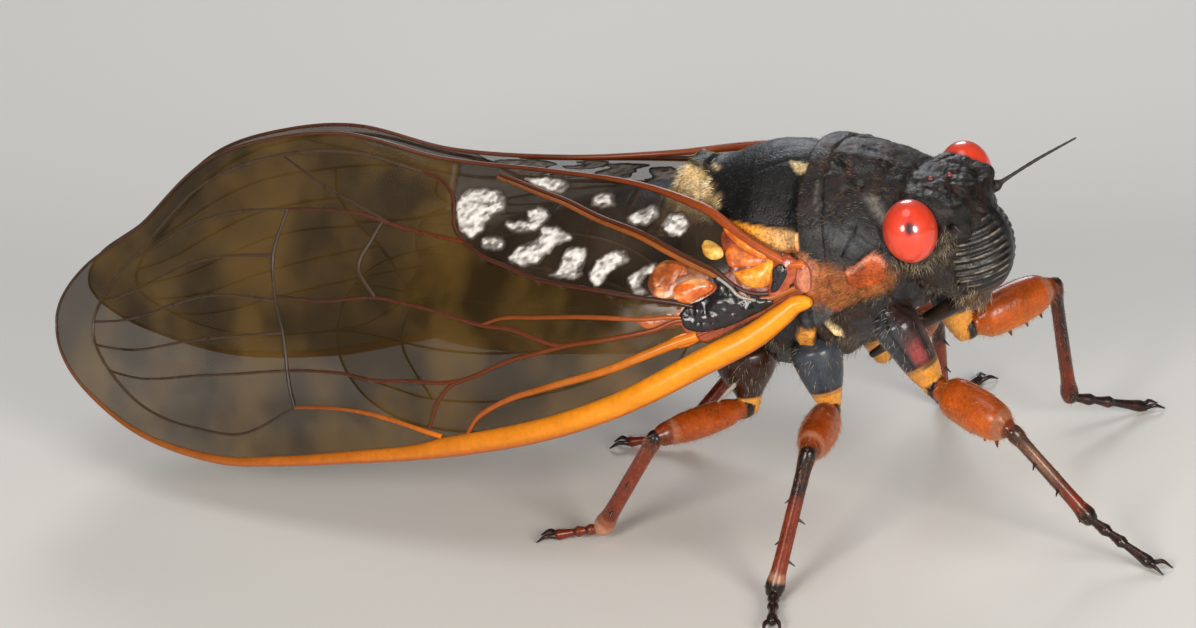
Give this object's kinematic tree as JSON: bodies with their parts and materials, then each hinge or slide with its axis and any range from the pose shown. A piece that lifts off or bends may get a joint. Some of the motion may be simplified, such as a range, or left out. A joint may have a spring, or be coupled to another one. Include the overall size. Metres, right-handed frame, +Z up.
{
  "type": "cicada model",
  "caption": "Life-size still model of a periodical cicada at rest: roofed clear wings with raised orange veins, black body, red eyes and orange legs",
  "frame": {"origin": "centre of the bounding box on the floor under the feet", "axes": "+X forward along the body towards the head, +Y to the animal's left, +Z up"},
  "size_m": [0.0516, 0.0244, 0.0162],
  "materials": {
    "cuticle_black": "glossy black cuticle",
    "leg_orange": "glossy orange cuticle",
    "leg_dark": "glossy dark red cuticle",
    "foot_dark": "satin brown-black cuticle",
    "eye_red": "polished red eye",
    "nose_black": "glossy ridged black cuticle",
    "underside": "satin cuticle with fine golden hair",
    "abdomen": "satin banded cuticle",
    "wing": "clear glossy membrane with orange veins",
    "hindwing": "clear glossy membrane",
    "feeler": "satin bristle"
  },
  "bodies": {
    "root": {"abdomen": "abdomen", "antenna_left": "feeler", "antenna_right": "feeler", "clypeus": "nose_black", "eye_left": "eye_red", "eye_right": "eye_red", "femur_fore_left": "leg_orange", "femur_fore_right": "leg_orange", "femur_hind_left": "leg_orange", "femur_hind_right": "leg_orange", "femur_mid_left": "leg_orange", "femur_mid_right": "leg_orange", "forewing_left": "wing", "forewing_right": "wing", "head": "cuticle_black", "hindwing_left": "hindwing", "hindwing_right": "hindwing", "mesonotum": "cuticle_black", "pronotum": "cuticle_black", "rostrum": "nose_black", "scutellum": "cuticle_black", "sternum": "underside", "tarsus_fore_left": "foot_dark", "tarsus_fore_right": "foot_dark", "tarsus_hind_left": "foot_dark", "tarsus_hind_right": "foot_dark", "tarsus_mid_left": "foot_dark", "tarsus_mid_right": "foot_dark", "tibia_fore_left": "leg_dark", "tibia_fore_right": "leg_dark", "tibia_hind_left": "leg_dark", "tibia_hind_right": "leg_dark", "tibia_mid_left": "leg_dark", "tibia_mid_right": "leg_dark"}
  },
  "joints": []
}
